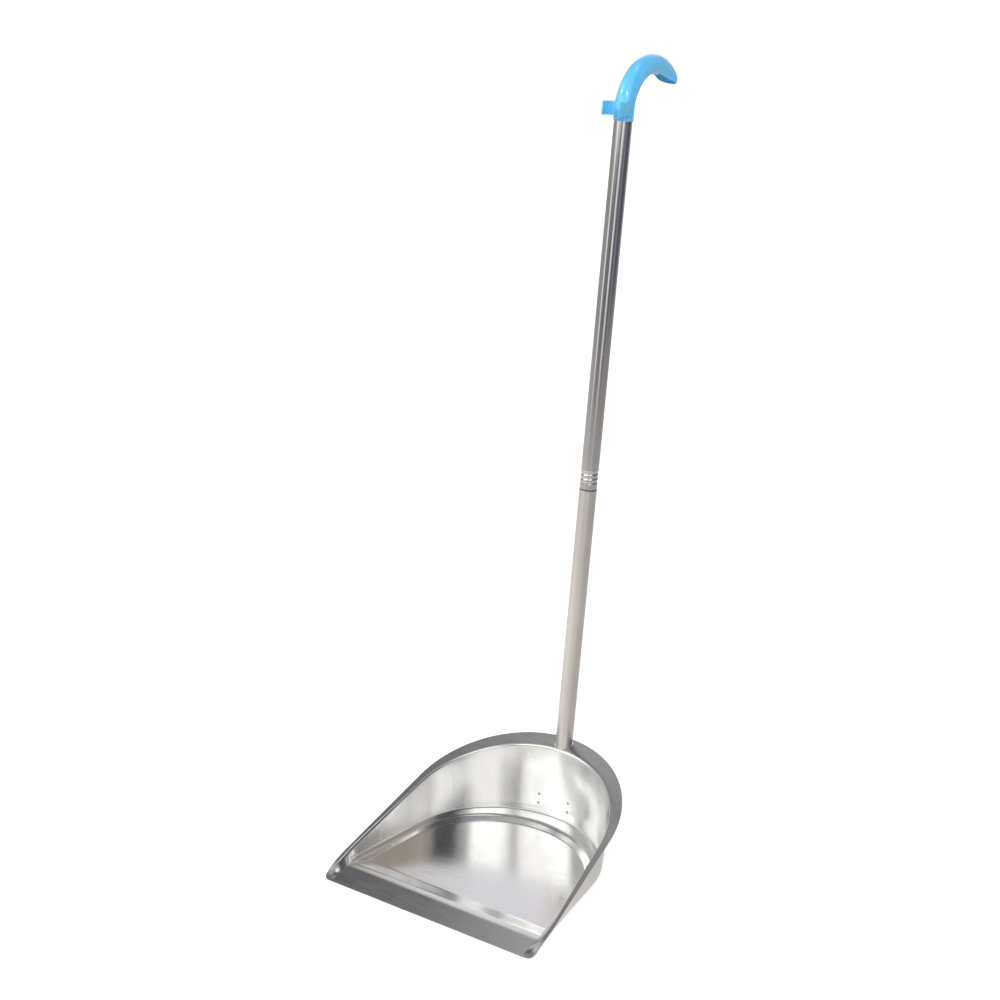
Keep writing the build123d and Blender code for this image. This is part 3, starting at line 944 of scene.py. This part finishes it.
class DUSTPAN_OT_spigot(PieceOperator, bpy.types.Operator):
    """Build the threaded spigot with its collar"""

    bl_idname = "dustpan.spigot"
    bl_label = "Thread spigot"
    slot = "spigot_plastic"
    stands_for = "thread_spigot"
    nose_rows = 93

    def build(self, settings):
        sizes = settings.handle
        edge = sizes.edge
        under = COLLAR_TOP - sizes.collar
        foot = under - sizes.plug
        top = COLLAR_TOP + sizes.nose
        plug = TUBE_RADIUS - sizes.wall - sizes.plug_gap
        heights = np.linspace(COLLAR_TOP, top, self.nose_rows)

        def outline(bearing):
            return (
                [(sizes.bore, foot), (plug - edge, foot), (plug, foot + edge), (plug, under)]
                + [(TUBE_RADIUS - edge, under), (TUBE_RADIUS, under + edge)]
                + [(TUBE_RADIUS, COLLAR_TOP - edge), (TUBE_RADIUS - edge, COLLAR_TOP)]
                + [(self.radius(sizes, bearing, s, top), s) for s in heights]
                + [(sizes.bore, top)]
            )

        return turned("threaded_spigot", outline)

    def radius(self, sizes, bearing, s, top):
        """Radius of the nose at a place: its chamfer, and the groove that is open at the top."""
        nose = TUBE_RADIUS - sizes.reduction - sizes.wall - sizes.nose_gap
        plain = min(nose, nose - sizes.nose_chamfer + top - s)
        along, away = thread_place(sizes, bearing, s)
        groove = sizes.groove + sizes.wall + sizes.thread_gap
        if along < -THREAD_LEAD or away >= groove:
            return plain
        middle = TUBE_RADIUS - sizes.reduction + sizes.groove - sizes.thread_depth
        return min(plain, middle - sqrt(groove**2 - away**2))


def wall_line(settings, x):
    """Place of the rear wall's outer face in the handle's frame, at x from the middle."""
    radius = PanForm(settings.pan).wall.radius
    front = -(TUBE_RADIUS + settings.handle.wall_gap)
    return front - (radius - sqrt(radius**2 - x**2))


class DUSTPAN_OT_strap(PieceOperator, bpy.types.Operator):
    """Build the strap that holds the handle's foot to the rear wall"""

    bl_idname = "dustpan.strap"
    bl_label = "Handle strap"
    slot = "strap_steel"
    stands_for = "handle_strap"
    ear_points = 9
    bend_points = 7
    bend_begin = 0.15  # angle at which the bend leaves the ear
    arch_points = 17
    rounded_from = radians(50)
    crease = radians(35)

    def build(self, settings):
        sizes = settings.handle
        path = np.array(self.path(settings))
        ahead = np.roll(path, -1, axis=0)
        behind = np.roll(path, 1, axis=0)
        ahead[-1], behind[0] = 2 * path[-1] - path[-2], 2 * path[0] - path[1]
        run = ahead - behind
        sideways = np.stack((-run[:, 1], run[:, 0]), axis=1) / np.linalg.norm(run, axis=1)[:, None]
        offset = sideways * sizes.strap / 2
        outline = [tuple(p) for p in (*(path + offset), *(path - offset)[::-1])]
        top = sizes.strap_bottom + sizes.strap_height
        strap = extrude("handle_strap_strip", outline, sizes.strap_bottom, top)
        bevel(strap, sizes.strap_edge, self.rounded_from, 2)
        strap.matrix_world = HANDLE
        return strap

    def path(self, settings):
        """Middle line of the strap, seen along the handle: ear, bend, leg, half round, and back."""
        sizes = settings.handle
        half = sizes.strap / 2
        inner = TUBE_RADIUS + sizes.strap_gap + half
        bend = sizes.strap_bend + half
        turn_x = inner + bend
        reaches = np.linspace(sizes.strap_ear, turn_x, self.ear_points)
        left = [(-x, wall_line(settings, x) + half) for x in reaches]
        corner = left[-1][1] + bend
        bearings = np.linspace(self.bend_begin, pi / 2, self.bend_points)
        left += [(-turn_x + bend * sin(b), corner - bend * cos(b)) for b in bearings]
        bearings = np.linspace(0, pi / 2, self.arch_points)
        left += [(-inner * cos(b), inner * sin(b)) for b in bearings]
        return left + mirrored(left)


class DUSTPAN_OT_welds(PieceOperator, bpy.types.Operator):
    """Build the four spot welds that join the strap's ears to the rear wall"""

    bl_idname = "dustpan.welds"
    bl_label = "Spot welds"
    slot = "weld_steel"
    stands_for = "spot_welds"
    crease = radians(50)

    def build(self, settings):
        sizes = settings.handle
        half = (settings.pan.sheet + sizes.strap) / 2
        rings = [(part, -half - rise) for part, rise in reversed(WELD_RINGS)]
        rings += [(part, half + rise) for part, rise in WELD_RINGS]
        nugget = grid_faces(WELD_SEGMENTS, len(rings), closed=True)
        points, faces = [], []
        for height in (sizes.weld_low, sizes.weld_high):
            for side in (-1, 1):
                faces += [[len(points) + corner for corner in face] for face in nugget]
                points += self.nugget_points(settings, side * sizes.weld_reach, height, rings)
        welds = new_piece("spot_weld_marks", points, faces)
        face_outwards(welds)
        welds.matrix_world = HANDLE
        return welds

    def nugget_points(self, settings, x, height, rings):
        """Points of one weld, square to the wall, in columns from its inner face to its outer face."""
        sizes = settings.handle
        turn = atan2(x, PanForm(settings.pan).wall.radius)
        outward = np.array((sin(turn), cos(turn)))
        across = np.array((cos(turn), -sin(turn)))
        middle = np.array((x, wall_line(settings, x))) + outward * (sizes.strap - settings.pan.sheet) / 2
        points = []
        for i in range(WELD_SEGMENTS):
            bearing = 2 * pi * i / WELD_SEGMENTS
            for part, depth in rings:
                plan = middle + outward * depth + across * (part * sizes.weld * sin(bearing))
                points.append((*plan, height + part * sizes.weld * cos(bearing)))
        return points


class DUSTPAN_OT_hook_cap(PieceOperator, bpy.types.Operator):
    """Build the blue cap with its hanging hook and broom clip"""

    bl_idname = "dustpan.hook_cap"
    bl_label = "Hook cap"
    body = "cap"
    slot = "cap_plastic"
    stands_for = "hook_cap"
    segments = 96
    sleeve_rows = 6
    neck_rows = 12
    hook_rows = 81
    mouth_tries = 1201
    rims_from = radians(50)
    clip_from = radians(60)
    crease = radians(32)
    root_share = 0.97  # half width of the clip's root in the cap's radius
    seat_share = 0.1  # how deep the root lies in the cap's wall, from the inside
    seat_edge = (0.98, 0.0022)  # edge of the seat: share of the root's half width, and place before the axis
    arm_points = 30
    nose_points = 9
    hollow_points = 36
    seat_points = 24

    def build(self, settings):
        sizes = settings.cap
        bore = TUBE_RADIUS + sizes.gap
        outer = bore + sizes.wall
        bottom = low_end("hook_cap", outer)
        points = []
        for c in range(self.segments):
            bearing = 2 * pi * c / self.segments
            skin = self.line(sizes, bearing, outer, bottom, outer)
            lining = self.line(sizes, bearing, bore, bottom, outer)
            points += skin + lining[::-1] + skin[:1]
        cap = new_piece("blue_hook_cap", points, grid_faces(self.segments, 2 * len(skin) + 1, closed=True))
        face_outwards(cap)
        bevel(cap, sizes.rim, self.rims_from)
        combine(cap, self.clip(settings, outer), "UNION")
        cap.matrix_world = HANDLE
        return cap

    def line(self, sizes, bearing, radius, bottom, outer):
        """Points along the cap at one bearing of its section, from its lower end to the hook's mouth."""
        side, top = radius * cos(bearing), radius * sin(bearing)
        start = bottom + sizes.sleeve
        sleeve = [(side, -top, bottom + sizes.sleeve * i / self.sleeve_rows) for i in range(self.sleeve_rows)]
        reach = sizes.neck_radius + top
        neck = []
        for i in range(self.neck_rows):
            turn = sizes.neck_turn * i / self.neck_rows
            neck.append((side, sizes.neck_radius - reach * cos(turn), start + reach * sin(turn)))
        slack = sizes.neck_radius - sizes.hook_radius
        centre = (sizes.neck_radius - slack * cos(sizes.neck_turn), start + slack * sin(sizes.neck_turn))
        last = self.mouth_turn(sizes, bearing, radius, outer)
        turns = np.linspace(sizes.neck_turn, last, self.hook_rows)
        across, up, aside = self.on_hook(sizes, bearing, radius, outer, turns)
        return sleeve + neck + list(zip(aside, centre[0] + across, centre[1] + up))

    def on_hook(self, sizes, bearing, radius, outer, turns):
        """Places on the main bend: across and up from its centre, and aside. The tip closes like a dome."""
        closing = np.clip((turns - sizes.tip_start) / (sizes.tip_end - sizes.tip_start), 0, 1)
        section = np.maximum(outer * np.sqrt(1 - closing**2) - (outer - radius), 0)
        reach = sizes.hook_radius + section * sin(bearing)
        return -reach * np.cos(turns), reach * np.sin(turns), section * cos(bearing)

    def mouth_turn(self, sizes, bearing, radius, outer):
        """Turn at which a line along the main bend meets the mouth's cut."""
        turns = np.linspace(pi / 2, sizes.tip_end, self.mouth_tries)
        across, up, _ = self.on_hook(sizes, bearing, radius, outer, turns)
        mouth = sizes.hook_radius - outer + sizes.mouth_rise
        cut = mouth - (across - sizes.mouth_setback) * tan(sizes.mouth_slope)
        gone = (across >= sizes.mouth_setback) & (up <= cut)
        if not gone.any():
            raise RuntimeError("the hook's mouth misses its bend")
        return float(turns[np.argmax(gone)])

    def clip(self, settings, outer):
        """The clip's arms and root as one prism with rounded edges, to be fused into the cap's wall."""
        sizes = settings.cap
        bore = CLIP["dims"]["r_mm"] / 1000
        height = CLIP["dims"]["length_mm"] / 1000
        local = HANDLE.inverted() @ Vector(CLIP["pos_m"])
        centre = local.y
        half = sizes.clip_wall / 2
        thick = bore + sizes.clip_wall
        root = outer * self.root_share
        seat = TUBE_RADIUS + sizes.gap + self.seat_share * sizes.wall
        end = pi - sizes.clip_mouth
        join = atan2(root, sqrt(thick**2 - root**2))
        nose_x, nose_w = (bore + half) * sin(end), centre + (bore + half) * cos(end)
        arm = np.linspace(join, end, self.arm_points)
        nose = np.linspace(0, pi, self.nose_points)[1:-1]
        hollow = np.linspace(end, 0, self.hollow_points)
        seat_begin = atan2(root * self.seat_edge[0], self.seat_edge[1])
        back = [(seat * sin(b), -seat * cos(b)) for b in np.linspace(seat_begin, 0, self.seat_points)]
        right = [(root, back[0][1])]
        right += [(thick * sin(b), centre + thick * cos(b)) for b in arm]
        right += [(nose_x + half * sin(end + b), nose_w + half * cos(end + b)) for b in nose]
        right += [(bore * sin(b), centre + bore * cos(b)) for b in hollow]
        outline = right + mirrored(right) + (back + mirrored(back))[::-1]
        prism = extrude("clip", outline, local.z - height / 2, local.z + height / 2)
        bevel(prism, sizes.clip_edge, self.clip_from)
        return prism


# Stage


def seen_rays(tree):
    """1 for rays from the camera, in reflections and through clear things, and 0 for all others."""
    path = node(tree, "ShaderNodeLightPath").outputs
    either = {0: path["Is Camera Ray"], 1: path["Is Glossy Ray"]}
    first = node(tree, "ShaderNodeMath", either, operation="MAXIMUM").outputs["Value"]
    either = {0: first, 1: path["Is Transmission Ray"]}
    return node(tree, "ShaderNodeMath", either, operation="MAXIMUM").outputs["Value"]


def towards(bearing, rise):
    """Unit vector in a direction given in degrees."""
    turn, up = radians(bearing), radians(rise)
    return Vector((cos(up) * sin(turn), -cos(up) * cos(turn), sin(up)))


def painted_floor_shade(bearing, reach):
    """Brightness of the floor in reflections, at a bearing and a distance, with painted shade: darker to the
    right and far away.
    """
    near = np.array(MAT_COLOUR) * (1 + MAT_PAINTED_SHADE_SWING * cos(radians(bearing - MAT_PAINTED_LIT_BEARING)))
    return near * (1 - MAT_PAINTED_FADE * float(soft_rise((reach - MAT_NEAR) / (MAT_FAR - MAT_NEAR))))


def panel_colour(bearing, rise):
    """Brightness of the tent in a direction: its base with the soft panels laid over it."""
    colour = np.array(TENT_BASE)
    for _, middle, half, low, high, feather, level in PANELS:
        aside = abs((bearing - middle + 180) % 360 - 180)
        across = soft_rise((half - aside) / feather + 0.5) if half < 180 else 1.0
        up = soft_rise((rise - low) / feather + 0.5) * soft_rise((high - rise) / feather + 0.5)
        cover = float(across * up)
        colour = colour * (1 - cover) + np.array(level) * cover
    return colour


def glowing_stage(name, columns, rows, point, colour):
    """A stage piece on a grid that glows in the colours painted on it, and is seen only in reflections."""
    bearings = np.linspace(-180, 180, columns)
    grid = [(bearing, row) for bearing in bearings for row in rows]
    mesh = bpy.data.meshes.new(name)
    mesh.from_pydata([point(*at) for at in grid], [], grid_faces(columns, len(rows)))
    glow = mesh.color_attributes.new("glow", "FLOAT_COLOR", "POINT")
    glow.data.foreach_set("color", np.ravel([(*colour(*at), 1) for at in grid]))
    piece = bpy.data.objects.new(name, mesh)
    bpy.context.scene.collection.objects.link(piece)
    material, tree, shader = new_material(name)
    tree.nodes.remove(shader)
    painted = node(tree, "ShaderNodeAttribute", attribute_name="glow").outputs["Color"]
    shine = node(tree, "ShaderNodeEmission", {"Color": painted, "Strength": 1.0})
    set_inputs(tree, tree.nodes["Material Output"], {"Surface": shine.outputs["Emission"]})
    mesh.materials.append(material)
    piece.visible_camera = False
    piece.visible_diffuse = False
    piece.visible_shadow = False


class DUSTPAN_OT_stage(bpy.types.Operator):
    """Set the pale floor, soft light and camera"""

    bl_idname = "dustpan.stage"
    bl_label = "Stage"
    bl_options = {"REGISTER", "UNDO"}

    def execute(self, context):
        settings = context.scene.dustpan.stage
        self.camera(context.scene, settings)
        self.world(context.scene, settings)
        self.floor(settings)
        self.tent()
        self.mat()
        self.lamps(settings)
        context.scene.view_settings.view_transform = "Standard"
        return {"FINISHED"}

    def camera(self, scene, settings):
        camera = bpy.data.objects.new("camera", bpy.data.cameras.new("camera"))
        scene.collection.objects.link(camera)
        camera.data.lens = settings.lens
        camera.location = Vector(settings.camera) + Vector((0, LIP_Y, 0))
        camera.rotation_euler = Euler(settings.aim)
        scene.camera = camera

    def world(self, scene, settings):
        """White to the camera and in reflections, and an even fill for everything else."""
        world = bpy.data.worlds.new("studio")
        world.use_nodes = True
        scene.world = world
        tree = world.node_tree
        levels = {"Value": seen_rays(tree), "To Min": settings.fill, "To Max": 1.0}
        level = node(tree, "ShaderNodeMapRange", levels).outputs["Result"]
        set_inputs(tree, tree.nodes["Background"], {"Color": (1, 1, 1, 1), "Strength": level})

    def floor(self, settings):
        corners = [(x * FLOOR_REACH, y * FLOOR_REACH, 0) for x, y in ((-1, -1), (1, -1), (1, 1), (-1, 1))]
        floor = new_piece("floor", corners, [(0, 1, 2, 3)])
        material, tree, shader = new_material("pale_floor")
        glow = node(tree, "ShaderNodeMapRange", {"Value": seen_rays(tree), "To Max": settings.floor_glow})
        set_inputs(tree, shader, {
            "Base Color": (*settings.floor, 1),
            "Roughness": FLOOR_ROUGH,
            "Specular IOR Level": 0.0,
            "Emission Color": (1, 1, 1, 1),
            "Emission Strength": glow.outputs["Result"],
        })
        floor.data.materials.append(material)

    def tent(self):
        """A glowing half dome round the part, painted with soft panels, that only reflections see: painted
        reflections, highlights and dark reflections on the metal.
        """

        def point(bearing, rise):
            return TENT_RADIUS * towards(bearing, rise)

        glowing_stage("tent", TENT_COLUMNS, np.linspace(0, TENT_TOP, TENT_ROWS), point, panel_colour)

    def mat(self):
        """A glowing disc that reflections see in place of the floor, with painted shade: darker to the right
        and far away.
        """

        def point(bearing, reach):
            return reach * towards(bearing, 0) + Vector((0, 0, MAT_HEIGHT))

        reaches = TENT_RADIUS * np.linspace(MAT_INNER, 1, MAT_ROWS)
        glowing_stage("floor_mat", MAT_COLUMNS, reaches, point, painted_floor_shade)

    def lamps(self, settings):
        """Two soft lamps for the whole part, and two that put highlights on the cap alone."""
        for row in LAMPS:
            self.lamp(settings, row, LAMP_AIM, LAMP_SIZE).visible_glossy = False
        lit = bpy.data.collections.new("cap_highlights")
        lit.objects.link(bpy.data.objects["blue_hook_cap"])
        for row in CAP_LAMPS:
            lamp = self.lamp(settings, row, CAP_AIM, CAP_LAMP_SIZE)
            lamp.light_linking.receiver_collection = lit

    def lamp(self, settings, row, aim, across):
        name, bearing, rise, power = row
        lamp = bpy.data.objects.new(name, bpy.data.lights.new(name, "AREA"))
        lamp.data.shape = "DISK"
        lamp.data.size = across
        lamp.data.energy = settings.key * power
        side = towards(bearing, rise)
        lamp.location = Vector(aim) + side * LAMP_DISTANCE
        lamp.rotation_euler = side.to_track_quat("Z", "Y").to_euler()
        bpy.context.scene.collection.objects.link(lamp)
        return lamp


PIECES = (
    DUSTPAN_OT_pan,
    DUSTPAN_OT_strap,
    DUSTPAN_OT_welds,
    DUSTPAN_OT_lower_tube,
    DUSTPAN_OT_spigot,
    DUSTPAN_OT_upper_tube,
    DUSTPAN_OT_hook_cap,
    DUSTPAN_OT_stage,
)


class DUSTPAN_PT_panel(bpy.types.Panel):
    """Sidebar list of the dustpan's pieces"""

    bl_label = "Dustpan"
    bl_idname = "DUSTPAN_PT_panel"
    bl_space_type = "VIEW_3D"
    bl_region_type = "UI"
    bl_category = "Dustpan"

    def draw(self, context):
        for operator in PIECES:
            self.layout.operator(operator.bl_idname)


CLASSES = (PanSizes, HandleSizes, CapSizes, Finishes, StageSettings, Dustpan, *PIECES, DUSTPAN_PT_panel)


def register():
    for made in CLASSES:
        bpy.utils.register_class(made)
    bpy.types.Scene.dustpan = PointerProperty(type=Dustpan)


def unregister():
    del bpy.types.Scene.dustpan
    for made in reversed(CLASSES):
        bpy.utils.unregister_class(made)


def main():
    register()
    for operator in PIECES:
        family, name = operator.bl_idname.split(".")
        getattr(getattr(bpy.ops, family), name)()


if __name__ == "__main__":
    main()
